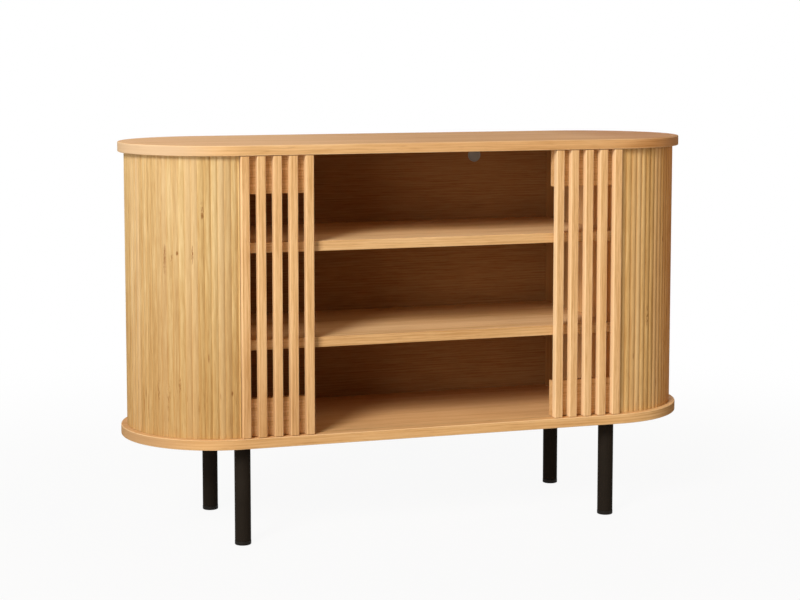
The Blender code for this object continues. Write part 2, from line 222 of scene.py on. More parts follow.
# Small knots and dark streaks: angle around the end in degrees, height, half width, half height
# and strength
KNOTS = {
    "left": [
        (22.3, 0.655, 0.0028, 0.0080, 0.85),
        (46.4, 0.569, 0.0026, 0.0280, 0.50),
        (38.0, 0.5815, 0.0028, 0.0045, 0.85),
        (28.4, 0.583, 0.0016, 0.0200, 0.50),
        (19.1, 0.379, 0.0012, 0.0110, 0.85),
        (5.4, 0.309, 0.0024, 0.0050, 0.85),
    ],
    "right": [
        (38.5, 0.5755, 0.0022, 0.0080, 0.85),
        (10.6, 0.339, 0.0012, 0.0110, 0.85),
    ],
}
# Clusters of dark specks: angle, height, half width and half height
SPECKS = {
    "left": [
        (46.4, 0.568, 0.0042, 0.0360),
        (41.6, 0.572, 0.0040, 0.0110),
        (28.4, 0.580, 0.0036, 0.0260),
        (22.3, 0.668, 0.0040, 0.0200),
        (52.0, 0.312, 0.0045, 0.0300),
        (44.5, 0.300, 0.0050, 0.0340),
        (37.0, 0.318, 0.0040, 0.0280),
    ],
    "right": [
        (56.0, 0.590, 0.0080, 0.0360),
        (22.0, 0.420, 0.0050, 0.0300),
    ],
}

# Plastic, paint and steel
CLOUD_SCALE = 60.0
SPECKLE_SCALE = 2600.0
MOULD_LIFT = 1.25
MOULD_SHINE = (-0.06, 0.06)
MOULD_BUMP = (0.12, 0.0002)
PEEL_SCALE = 900.0
DUST_SCALE = 22.0
DUST_LIFT = 1.5
PAINT_SHINE = (-0.04, 0.06)
PEEL_BUMP = (0.10, 0.0003)
PAINT_GLOSS = 0.008
BRUSH_STRETCH = (1.0, 1.0, 0.1)
BRUSH_SCALE = 1500.0
BRUSH_BUMP = (0.08, 0.0001)
STEEL_ROUGHNESS = (0.28, 0.42)

# Colours in linear light, and tints that multiply them
NATURAL = (1.0, 1.0, 1.0)
OAK_LIGHT = (0.780, 0.515, 0.262)
OAK_MID = (0.695, 0.430, 0.196)
OAK_DARK = (0.550, 0.304, 0.115)
OAK_PORE = (0.300, 0.135, 0.045)
# Colour of the painted highlights on eased edges and of the painted light on the slats' flat sides
OAK_PAINTED_HIGHLIGHT = (0.900, 0.655, 0.380)
# Colour of the painted shade on the boards' large faces
OAK_FACE_PAINTED_SHADE = (0.600, 0.310, 0.150)
# Painted shade on the top's right part
TOP_PAINTED_SHADE = (NATURAL, (0.75, 0.60, 0.47))
# Painted light on the top's large faces, strongest at the left
TOP_FACE_PAINTED_LIGHT = ((1.20, 1.24, 1.35), (1.08, 1.06, 0.96))
# Painted light at the top's left end and painted shade at its right end
TOP_LEFT_END_PAINTED_LIGHT = (0.560, 0.410, 0.265)
TOP_RIGHT_END_PAINTED_SHADE = (0.490, 0.275, 0.145)
# Painted shade on the base's left part and painted light on its right part
BASE_PAINTED_LIGHT_AND_SHADE = ((0.90, 0.86, 0.81), (1.11, 1.14, 1.14))
# No painted light on the base's large faces
BASE_FACE_PAINTED_LIGHT = (NATURAL, NATURAL)
# Painted shade at the base's left and right ends
BASE_LEFT_END_PAINTED_SHADE = (0.430, 0.260, 0.130)
BASE_RIGHT_END_PAINTED_SHADE = (0.365, 0.190, 0.076)
# Painted light on the base's upper faces towards the front
BASE_FRONT_PAINTED_LIGHT = (1.22, 1.31, 1.36)
SHELF_TONE = (0.94, 0.94, 0.94)
# Painted light on the shelves' upper faces towards the front
SHELF_FRONT_PAINTED_LIGHT = (1.34, 1.48, 1.72)
RAIL_TONE = (0.98, 0.97, 0.96)
# Side panels: lightened all over as painted light, and darker towards the rear as painted shade
SIDE_PAINTED_LIGHT = (1.20, 1.20, 1.20)
SIDE_REAR_PAINTED_SHADE = (0.46, 0.34, 0.23)
# A darker copy of the oak for the back panel, as painted shade of the cabinet's inside
BACK_PAINTED_SHADE = (0.45, 0.34, 0.25)
# Painted shade on the lower part of the left door's slats
SLAT_LOW_LEFT_PAINTED_SHADE = (0.80, 0.73, 0.66)
BAMBOO_LIGHT = (0.690, 0.480, 0.225)
BAMBOO_MID = (0.560, 0.350, 0.138)
BAMBOO_DARK = (0.420, 0.230, 0.076)
BAMBOO_PINK = (0.620, 0.400, 0.200)
BAMBOO_STREAK = (0.300, 0.135, 0.036)
# Painted light and shade that differ between the left and the right sheet
BAMBOO_SIDE_PAINTED_LIGHT = {"left": (0.97, 1.04, 1.10), "right": (1.08, 1.11, 1.13)}
# Painted shade at each sheet's far end, strongest on the right
FAR_END_PAINTED_SHADE = {"left": (0.95, 0.94, 0.97), "right": (0.92, 0.69, 0.50)}
# Painted light in the left sheet's grooves and painted shade in the right sheet's grooves
GROOVE_PAINTED_LIGHT_AND_SHADE = {"left": (1.05, 1.00, 0.92), "right": (0.76, 0.58, 0.37)}
# Painted light on the sheets' upper part and painted shade on their lower part
PAINTED_LIGHT_ABOVE = (1.04, 1.08, 1.15)
PAINTED_SHADE_BELOW = (0.85, 0.77, 0.67)
KNOT_BROWN = (0.230, 0.095, 0.025)
LEG_BLACK = (0.0150, 0.0120, 0.0093)
FOOT_BLACK = (0.0095, 0.0080, 0.0065)
GLIDE_BLACK = (0.018, 0.018, 0.018)
GROMMET_GREY = (0.250, 0.260, 0.250)
STEEL_DARK = (0.28, 0.28, 0.29)
STEEL_LIGHT = (0.44, 0.44, 0.45)
FLOOR_DARK = (0.50, 0.50, 0.50)
FLOOR_LIGHT = (0.54, 0.54, 0.54)

# Floor and surround
FLOOR_RADIUS = 14.0
FLOOR_STEPS = 96
FLOOR_DROP = 0.0002
FLOOR_SCALE = 3.0
FLOOR_ROUGHNESS = 0.9
FLOOR_GLOW = (0.6, 2.2, 0.93, 1.0)
AMBIENT = 0.05
MIRROR_RAYS = ("Is Glossy Ray", "Is Transmission Ray")

# Lamps: azimuth left of the front and elevation in degrees, distance, size, watts, colour, target
MIDDLE = (CAD_BOX[0] + CAD_BOX[1]) / 2
UPPER_LEFT = (-0.5, -0.05, 0.6)
LAMPS = {
    "key": (44.5, 31.0, 11.0, 4.0, 1065.0, (1.0, 0.94, 0.88), MIDDLE),
    "front_fill": (42.0, 5.0, 5.0, 2.0, 60.0, (1.0, 0.93, 0.85), MIDDLE),
    "upper_left": (75.0, 50.0, 1.1, 0.6, 2.4, (1.0, 1.0, 1.0), UPPER_LEFT),
    "left_fill": (84.0, 8.0, 4.0, 2.0, 8.0, (1.0, 0.93, 0.84), MIDDLE),
    "right_fill": (-48.0, 25.0, 3.5, 2.0, 25.0, (1.0, 0.74, 0.50), MIDDLE),
    "back_fill": (180.0, 18.0, 3.5, 2.0, 20.0, (1.0, 0.97, 0.93), MIDDLE),
    "right_back_fill": (-148.0, 12.0, 3.5, 2.0, 38.0, (1.0, 0.97, 0.93), MIDDLE),
}

# Camera, with its angles in degrees
SENSOR = 36.0
LENS = 84.389
SHIFT = -0.09
CAMERA_PLACE = (-1.2277, -3.6922, 0.9830)
CAMERA_PITCH = 5.6041
CAMERA_TURN = -18.1872


def new_object(name, shape, smooth_angle=40.0):
    """Links a closed body, smooth across the edges that bend less than the angle."""
    bmesh.ops.recalc_face_normals(shape, faces=shape.faces)
    mesh = bpy.data.meshes.new(name)
    shape.to_mesh(mesh)
    shape.free()
    mesh.shade_smooth()
    mesh.set_sharp_from_angle(angle=math.radians(smooth_angle))
    obj = bpy.data.objects.new(name, mesh)
    bpy.context.scene.collection.objects.link(obj)
    return obj


def loft(rings, closed=False):
    """A body through rings of equally many points, with flat ends unless it closes on itself."""
    shape = bmesh.new()
    loops = [[shape.verts.new(point) for point in ring] for ring in rings]
    pairs = list(zip(loops, loops[1:]))
    if closed:
        pairs.append((loops[-1], loops[0]))
    for low, high in pairs:
        for i in range(len(low)):
            j = (i + 1) % len(low)
            shape.faces.new((low[i], low[j], high[j], high[i]))
    if not closed:
        shape.faces.new(loops[0][::-1])
        shape.faces.new(loops[-1])
    return shape


def place(obj, body, slot, *nodes):
    """The piece rides on a body and stands for nodes. The slot is not used."""
    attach(obj, body)
    if nodes:
        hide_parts(*nodes)
    return obj


def flat_faces(obj):
    """Keeps the large flat faces flat up to their rounded edges."""
    modifier = obj.modifiers.new("flat faces", "WEIGHTED_NORMAL")
    modifier.keep_sharp = True
    modifier.weight = FACE_WEIGHT


def stadium(inset):
    """Points around the boards' outline, moved in by the inset."""
    radius = END_RADIUS - inset
    outline = []
    for side in (1, -1):
        for step in range(END_STEPS + 1):
            angle = math.pi * (step / END_STEPS - 0.5)
            x = CURVE_START + radius * math.cos(angle)
            outline.append((side * x, side * radius * math.sin(angle)))
    return outline


def cut_track(obj, track_z):
    """Cuts the groove that the doors run in, behind the slats."""
    low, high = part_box("left_door_top_rail")
    shape = bmesh.new()
    bmesh.ops.create_cube(shape, size=1.0)
    size = Vector((2 * TRACK_REACH, TRACK_WIDTH, 2 * TRACK_DEPTH))
    bmesh.ops.scale(shape, vec=size, verts=shape.verts)
    bmesh.ops.translate(shape, vec=(0, (low.y + high.y) / 2, track_z), verts=shape.verts)
    cutter = new_object(obj.name + "_track", shape)
    cutter.hide_render = True
    cutter.display_type = "WIRE"
    cut = obj.modifiers.new("track", "BOOLEAN")
    cut.operation = "DIFFERENCE"
    cut.solver = "EXACT"
    cut.object = cutter


def board(name, node, slot, track_z):
    """A stadium board with rounded edges and the doors' groove."""
    low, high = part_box(node)
    levels = []
    for step in range(EASE_STEPS + 1):
        angle = math.pi / 2 * step / EASE_STEPS
        levels.append((BOARD_EASE * (1 - math.cos(angle)), BOARD_EASE * (1 - math.sin(angle))))
    profile = [(low.z + lift, inset) for lift, inset in levels]
    profile += [(high.z - lift, inset) for lift, inset in reversed(levels)]
    rings = [[(x, y, z) for x, y in stadium(inset)] for z, inset in profile]
    obj = new_object(name, loft(rings))
    cut_track(obj, track_z)
    flat_faces(obj)
    return place(obj, "cabinet", slot, node)


def tambour(side, sign):
    """A reeded sheet around one end. Angle 0 is at the front, pi at the back."""
    low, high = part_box(side + "_side_panel")
    half = REED_PITCH * CREST_RADIUS / 2
    arc = (half ** 2 + REED_DEPTH ** 2) / (2 * REED_DEPTH)
    outline = []
    for step in range(REEDS * REED_STEPS + 1):
        phase = step / REED_STEPS
        past_valley = phase - FIRST_REED[side]
        across = (0.5 - abs(past_valley - round(past_valley))) * 2 * half
        rise = math.sqrt(arc ** 2 - across ** 2) - (arc - REED_DEPTH)
        outline.append((VALLEY_RADIUS + rise, REED_START + REED_PITCH * phase))
    for step in range(REEDS, -1, -1):
        outline.append((INNER_RADIUS, REED_START + REED_PITCH * step))
    points = [(sign * (CURVE_START + r * math.sin(a)), -r * math.cos(a)) for r, a in outline]
    rings = [[(x, y, z) for x, y in points] for z in (low.z, high.z)]
    obj = new_object(side + "_reeded_end", loft(rings))
    return place(obj, "cabinet", "tambour_bamboo", side + "_tambour")


def rounded_oblong(low, high, radius, inset):
    """Points of a rectangle with rounded corners, moved in by the inset."""
    points = []
    for quarter, (a, b) in enumerate(((1, 1), (-1, 1), (-1, -1), (1, -1))):
        corner = Vector((high.x if a > 0 else low.x, high.y if b > 0 else low.y))
        centre = corner - Vector((a, b)) * radius
        for step in range(CORNER_STEPS + 1):
            angle = math.pi / 2 * (quarter + step / CORNER_STEPS)
            points.append(centre + (radius - inset) * Vector((math.cos(angle), math.sin(angle))))
    return points


def upright_bar(name, low, high, radius, end_ease):
    """A bar with rounded long edges and nearly square ends."""
    levels = (
        (low.z, end_ease),
        (low.z + end_ease, 0.0),
        (high.z - end_ease, 0.0),
        (high.z, end_ease),
    )
    rings = [[(*p, z) for p in rounded_oblong(low, high, radius, inset)] for z, inset in levels]
    obj = new_object(name, loft(rings), SLAT_SMOOTH)
    flat_faces(obj)
    return obj


def ease_edges(*objects):
    """Rounds the sharp edges of solids that keep their own shape."""
    for obj in objects:
        modifier = obj.modifiers.new("eased edges", "BEVEL")
        modifier.width = PANEL_EASE
        modifier.segments = PANEL_EASE_STEPS
        modifier.limit_method = "ANGLE"
        modifier.harden_normals = True


def turned(name, profile, centre, axis="Z", steps=ROUND_STEPS, closed=False):
    """A body turned from (radius, height) points about an axis through the centre."""
    rings = []
    for radius, height in profile:
        ring = []
        for i in range(steps):
            angle = 2 * math.pi * i / steps
            a, b = radius * math.cos(angle), radius * math.sin(angle)
            offset = (a, b, height) if axis == "Z" else (a, height, -b)
            ring.append(Vector(centre) + Vector(offset))
        rings.append(ring)
    return new_object(name, loft(rings, closed))


def rounded_profile(radius, low, high, ease_low, ease_high, steps=5):
    """A straight rod's profile with rounded ends."""
    curve = []
    for step in range(steps + 1):
        angle = math.pi / 2 * step / steps
        curve.append((1 - math.sin(angle), 1 - math.cos(angle)))
    profile = [(radius - ease_low * inward, low + ease_low * rise) for inward, rise in curve]
    curve.reverse()
    profile += [(radius - ease_high * inward, high - ease_high * rise) for inward, rise in curve]
    return profile


def build_legs():
    """Legs and the feet under them, with rounded ends."""
    finishes = {"leg": (LEG_EASE, "leg_paint"), "foot": (FOOT_EASE, "foot_plastic")}
    pieces = {part: [] for part in finishes}
    for side in SIDES:
        for end in ENDS:
            for part, (ease, slot) in finishes.items():
                node = f"{side}_{end}_{part}"
                low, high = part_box(node)
                radius = (high.x - low.x) / 2
                top = high.z if part == "leg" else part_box(f"{side}_{end}_leg")[0].z
                centre = ((low.x + high.x) / 2, (low.y + high.y) / 2, 0)
                profile = rounded_profile(radius, low.z, top, ease, min(ease, UPPER_EASE))
                obj = turned(node + "_turned", profile, centre)
                pieces[part].append(place(obj, "cabinet", slot, node))
    return pieces


def build_slats():
    """Slats with rounded long edges."""
    made = []
    for side in SIDES:
        for i in range(1, SLATS + 1):
            node = f"{side}_door_slat_{i}"
            obj = upright_bar(f"{side}_slat_{i}", *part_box(node), SLAT_EASE, SLAT_END_EASE)
            made.append(place(obj, side + "_door", "slat_oak", node))
    return made


def build_grommet():
    """A ring with a lid set in it."""
    low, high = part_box("cable_grommet")
    centre = ((low.x + high.x) / 2, 0, (low.z + high.z) / 2)
    radius = (high.x - low.x) / 2
    plug = radius - GROMMET_LIP
    lid = radius - GROMMET_RIM
    hole = lid + LID_GAP
    ring = [
        (hole, low.y + LID_SEAT),
        (hole, low.y + RIM_INNER_EASE[1]),
        (hole + RIM_INNER_EASE[0], low.y),
        (radius - RIM_OUTER_EASE[0], low.y),
        (radius, low.y + RIM_OUTER_EASE[1]),
        (radius, low.y + GROMMET_FLANGE),
        (plug, low.y + GROMMET_FLANGE),
        (plug, high.y),
        (plug - GROMMET_WALL, high.y),
        (plug - GROMMET_WALL, low.y + LID_SEAT),
    ]
    collar = turned("grommet_ring", ring, centre, "Y", closed=True)
    place(collar, "cabinet", "grommet_plastic", "cable_grommet")
    front = low.y + LID_SET_BACK
    cap_profile = rounded_profile(lid, front, front + LID_THICKNESS, LID_EASE, LID_BACK_EASE)
    cap = turned("grommet_lid", cap_profile, centre, "Y")
    place(cap, "cabinet", "grommet_plastic")
    return [collar, cap]


def build_screws():
    """Pan-head screws through the back into the side panels and the shelves."""
    spots = []
    for side in SIDES:
        low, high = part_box(side + "_side_panel")
        for share in PANEL_SCREWS:
            spots.append(((low.x + high.x) / 2, low.z + share * (high.z - low.z)))
    for shelf in ("lower_shelf", "upper_shelf"):
        low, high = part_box(shelf)
        for share in SHELF_SCREWS:
            spots.append((low.x + share * (high.x - low.x), (low.z + high.z) / 2))
    back_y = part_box("back_panel")[1].y
    profile = [(SCREW_RADIUS * share, back_y + height) for share, height in SCREW_HEAD]
    made = []
    for number, (x, z) in enumerate(spots, 1):
        obj = turned(f"back_screw_{number}", profile, (x, 0, z), "Y", SCREW_STEPS)
        made.append(place(obj, "cabinet", "bolt_steel"))
    return made


class Tree:
    """A material's nodes, with short calls for the ones used here."""

    def __init__(self, name):
        self.material = bpy.data.materials.new(name)
        self.material.use_nodes = True
        self.nodes = self.material.node_tree.nodes
        self.links = self.material.node_tree.links
        self.shader = self.nodes["Principled BSDF"]

    def put(self, socket, value):
        """Links a socket to another one, or sets its value."""
        if isinstance(value, bpy.types.NodeSocket):
            self.links.new(value, socket)
        elif value is not None:
            socket.default_value = value

    def node(self, kind, inputs=(), **settings):
        made = self.nodes.new(kind)
        for key, value in settings.items():
            setattr(made, key, value)
        for key, value in dict(inputs).items():
            self.put(made.inputs[key], value)
        return made

    def math(self, operation, a, b=None, c=None):
        made = self.node("ShaderNodeMath", operation=operation)
        for socket, value in zip(made.inputs, (a, b, c)):
            self.put(socket, value)
        return made.outputs[0]

    def vector(self, operation, a, b=None, scale=None):
        made = self.node("ShaderNodeVectorMath", operation=operation)
        self.put(made.inputs[0], a)
        self.put(made.inputs[1], b)
        self.put(made.inputs[3], scale)
        return made.outputs[0]

    def split(self, vector):
        return self.node("ShaderNodeSeparateXYZ", {"Vector": vector}).outputs

    def join(self, x, y, z):
        return self.node("ShaderNodeCombineXYZ", {"X": x, "Y": y, "Z": z}).outputs[0]

    def noise(self, vector, scale, detail=2.0, roughness=0.5, colour=False):
        inputs = {"Vector": vector, "Scale": scale, "Detail": detail, "Roughness": roughness}
        return self.node("ShaderNodeTexNoise", inputs).outputs["Color" if colour else "Fac"]

    def white(self, value):
        made = self.node("ShaderNodeTexWhiteNoise", {"W": value}, noise_dimensions="1D")
        return made.outputs["Value"]

    def ramp(self, value, *stops):
        made = self.node("ShaderNodeValToRGB", {"Fac": value})
        elements = made.color_ramp.elements
        while len(elements) < len(stops):
            elements.new(0.5)
        for element, (position, colour) in zip(elements, stops):
            element.position = position
            element.color = (*colour, 1.0)
        return made.outputs["Color"]

    def span(self, value, low, high, to_low=0.0, to_high=1.0):
        """A smooth step from one value at the low end to another at the high end."""
        made = self.node(
            "ShaderNodeMapRange",
            {
                "Value": value,
                "From Min": low,
                "From Max": high,
                "To Min": to_low,
                "To Max": to_high,
            },
            interpolation_type="SMOOTHSTEP",
        )
        return made.outputs["Result"]

    def shine(self, value, roughness, change):
        """A roughness with one change where a noise is low and another where it is high."""
        low, high = change
        return self.span(value, *NOISE_SPREAD, roughness + low, roughness + high)

    def mix(self, factor, a, b, blend="MIX"):
        made = self.node("ShaderNodeMix", data_type="RGBA", blend_type=blend)
        self.put(made.inputs["Factor"], factor)
        for socket, value in ((made.inputs[6], a), (made.inputs[7], b)):
            self.put(socket, (*value, 1.0) if isinstance(value, tuple) else value)
        return made.outputs[2]

    def bump(self, height, strength, distance):
        inputs = {"Height": height, "Strength": strength, "Distance": distance}
        return self.node("ShaderNodeBump", inputs).outputs["Normal"]

    def finish(self, colour, roughness, normal=None, gloss=None):
        """Sets what the shader takes."""
        self.put(self.shader.inputs["Base Color"], colour)
        self.put(self.shader.inputs["Roughness"], roughness)
        self.put(self.shader.inputs["Normal"], normal)
        self.put(self.shader.inputs["Specular IOR Level"], gloss)

    def tint(self, share, colour, blend="MULTIPLY"):
        """Mixes a colour into the shader's colour."""
        base = self.shader.inputs["Base Color"]
        self.put(base, self.mix(share, base.links[0].from_socket, colour, blend))

    def place_on(self, *objects):
        for obj in objects:
            obj.data.materials.clear()
            obj.data.materials.append(self.material)


def object_point(t):
    """Object coordinates."""
    return t.node("ShaderNodeTexCoord").outputs["Object"]


def own_point(t):
    """Object coordinates, moved by a different amount for each piece."""
    random = t.node("ShaderNodeObjectInfo").outputs["Random"]
    return t.vector("ADD", object_point(t), t.vector("SCALE", PIECE_SHIFT, scale=random))


def around(t, point):
    """Length along the stadium's edge, the angle around its end and the height of a point."""
    x, y, z = t.split(point)
    size = t.math("ABSOLUTE", x)
    beyond = t.math("MAXIMUM", t.math("SUBTRACT", size, CURVE_START), 0.0)
    angle = t.math("ARCTAN2", beyond, t.math("MULTIPLY", y, -1.0))
    straight = t.math("MINIMUM", size, CURVE_START)
    run = t.math("ADD", straight, t.math("MULTIPLY", angle, END_RADIUS))
    return t.math("MULTIPLY", run, t.math("SIGN", x)), angle, z


def grain_value(t, point, along, fine=1.0, lines=RING_LINES, broad_share=BROAD_SHARE):
    """Broad tone, growth lines and fibres that run along one axis, and a mask of the open pores."""
    long = [LONG_GRAIN if axis == along else 1.0 for axis in "XYZ"]
    slow = [LONG_SWAY if axis == along else 1.0 for axis in "XYZ"]
    across = [0.0 if axis == along else 2.0 * math.pi / RING_PITCH for axis in "XYZ"]
    sway = t.noise(t.vector("MULTIPLY", point, slow), SWAY_SCALE, colour=True)
    sway = t.vector("SCALE", t.vector("SUBTRACT", sway, (0.5, 0.5, 0.5)), scale=GRAIN_SWAY)
    bent = t.vector("ADD", point, sway)
    drawn = t.vector("MULTIPLY", bent, long)
    broad = t.noise(drawn, BROAD_SCALE)
    streak = t.noise(drawn, STREAK_SCALE * fine, detail=5.0, roughness=0.62)
    fibre = t.noise(drawn, FIBRE_SCALE * fine, detail=3.0, roughness=0.6)
    turn = t.node("ShaderNodeVectorMath", {0: bent, 1: across}, operation="DOT_PRODUCT")
    ring = t.math("SINE", t.math("MULTIPLY_ADD", broad, RING_BEND, turn.outputs["Value"]))
    rest = 1.0 - broad_share
    threads = t.math("MULTIPLY", fibre, (1.0 - STREAK_SHARE) * rest)
    threads = t.math("MULTIPLY_ADD", streak, STREAK_SHARE * rest, threads)
    value = t.math("MULTIPLY_ADD", broad, broad_share, threads)
    value = t.math("MULTIPLY_ADD", ring, lines, value)
    pores = t.noise(t.vector("SCALE", drawn, scale=PORE_STRETCH), PORE_SCALE * fine)
    return value, t.span(pores, *PORE_MASK)


def oak_colour(t, value, pores, tone=NATURAL):
    """Oak's colours by the grain's tone, with darker pores."""
    shades = (OAK_DARK, OAK_MID, OAK_LIGHT)
    shades = [tuple(a * b for a, b in zip(tone, shade)) for shade in shades]
    colour = t.ramp(value, *zip(OAK_STOPS, shades))
    return t.mix(t.math("MULTIPLY", pores, OAK_PORES), colour, OAK_PORE)


def finish_wood(t, colour, value, pores, roughness, gloss):
    """Light wood is smoother than dark wood, and the pores are open."""
    shine = t.shine(value, roughness, WOOD_SHINE)
    height = t.math("SUBTRACT", value, t.math("MULTIPLY", pores, PORE_DEPTH))
    t.finish(colour, shine, t.bump(height, *WOOD_BUMP), gloss)


def oak(name, along, roughness=0.50, tone=NATURAL, gloss=0.12, fine=1.0, broad_share=BROAD_SHARE):
    """Oiled oak with the grain along one axis."""
    t = Tree(name)
    value, pores = grain_value(t, own_point(t), along, fine, broad_share=broad_share)
    finish_wood(t, oak_colour(t, value, pores, tone), value, pores, roughness, gloss)
    return t


def slat_oak(name):
    """Upright oak with a painted highlight on the eased edges and painted light on the sides.

    Both are strongest on the right door's slats; painted shade darkens the lower left.
    """
    t = oak(name, "Z", roughness=0.42, gloss=0.2, fine=1.4, broad_share=0.06)
    coordinates = t.node("ShaderNodeTexCoord").outputs
    sideways = t.math("ABSOLUTE", t.split(coordinates["Normal"])["X"])
    x, _, z = t.split(coordinates["Object"])
    # Painted highlight on the eased edges and painted light on the flat sides, stronger on the
    # right door's slats
    eased = t.math("MULTIPLY", t.span(sideways, *SLAT_EDGES), t.span(x, *RIGHT_SLATS))
    pale = t.math("MULTIPLY", eased, t.span(sideways, *SLAT_FLANKS))
    t.tint(pale, OAK_PAINTED_HIGHLIGHT, "MIX")
    # Painted shade on the lower part of the left door's slats
    t.tint(t.math("MULTIPLY", t.span(z, *LOW_SLATS), t.span(x, *LEFT_SLATS)), SLAT_LOW_LEFT_PAINTED_SHADE)
    return t


def side_oak(name):
    """Upright oak, lightened as painted light and darker towards the back as painted shade."""
    t = oak(name, "Z", tone=SIDE_PAINTED_LIGHT)
    # Painted shade towards the rear
    t.tint(t.span(t.split(object_point(t))["Y"], *REAR_PART), SIDE_REAR_PAINTED_SHADE)
    return t


def board_oak(name, tints, faces, end_paint):
    """Oak with its grain along X on the faces and along the edge on the banding.

    The tints paint light and shade on the board's left and right part, and the faces paint light on
    its large faces. End paint is painted light or shade at each end, with where it begins and is
    full.
    """
    t = Tree(name)
    point = object_point(t)
    run, _, z = around(t, point)
    face_value, face_pores = grain_value(t, point, "X")
    edge_value, edge_pores = grain_value(t, t.join(run, BAND_LAYER, z), "X", BAND_FINENESS)
    normal = t.split(t.node("ShaderNodeNewGeometry").outputs["True Normal"])
    up = t.math("ABSOLUTE", normal["Z"])
    is_face = t.math("GREATER_THAN", up, FACE_LIMIT)

    def choose(face, edge):
        inputs = {"Factor": is_face, "A": edge, "B": face}
        return t.node("ShaderNodeMix", inputs, data_type="FLOAT").outputs["Result"]

    value, pores = choose(face_value, edge_value), choose(face_pores, edge_pores)
    colour = oak_colour(t, value, pores)
    # Painted shade on the large faces
    colour = t.mix(t.math("MULTIPLY", is_face, FACE_SHADE_SHARE), colour, OAK_FACE_PAINTED_SHADE)
    # Painted light and shade from the left to the right part of the board
    x = t.split(point)["X"]
    rightward = t.math("ADD", t.span(x, *RIGHT_OF_MIDDLE), t.span(x, *RIGHT_END))
    colour = t.mix(1.0, colour, t.mix(rightward, *tints), "MULTIPLY")
    # Painted light on the large faces, stronger at the left
    colour = t.mix(is_face, colour, t.mix(t.span(x, *FACE_TURN), *faces), "MULTIPLY")
    # Painted light or shade at each end, by which way the edge faces
    for sign, (band, (begin, full)) in zip(SIDES.values(), end_paint):
        share = t.span(normal["X"], begin * sign, full * sign, 0.0, END_PAINT_SHARE)
        colour = t.mix(share, colour, band)
    # Painted highlight along the eased edges
    eased = t.math("MULTIPLY", t.span(up, *EASE_BEGIN), t.span(up, *EASE_FINISH))
    colour = t.mix(t.math("MULTIPLY", eased, EASE_HIGHLIGHT_SHARE), colour, OAK_PAINTED_HIGHLIGHT)
    finish_wood(t, colour, value, pores, roughness=0.66, gloss=0.01)
    return t


def paint_front_light(t, tint):
    """Paints light on the upper faces of a wood towards the front."""
    up = t.split(t.node("ShaderNodeNewGeometry").outputs["True Normal"])["Z"]
    y = t.split(object_point(t))["Y"]
    t.tint(t.math("MULTIPLY", t.span(up, *UPPER_SIDE), t.span(y, *FRONT_PART)), tint)
    return t


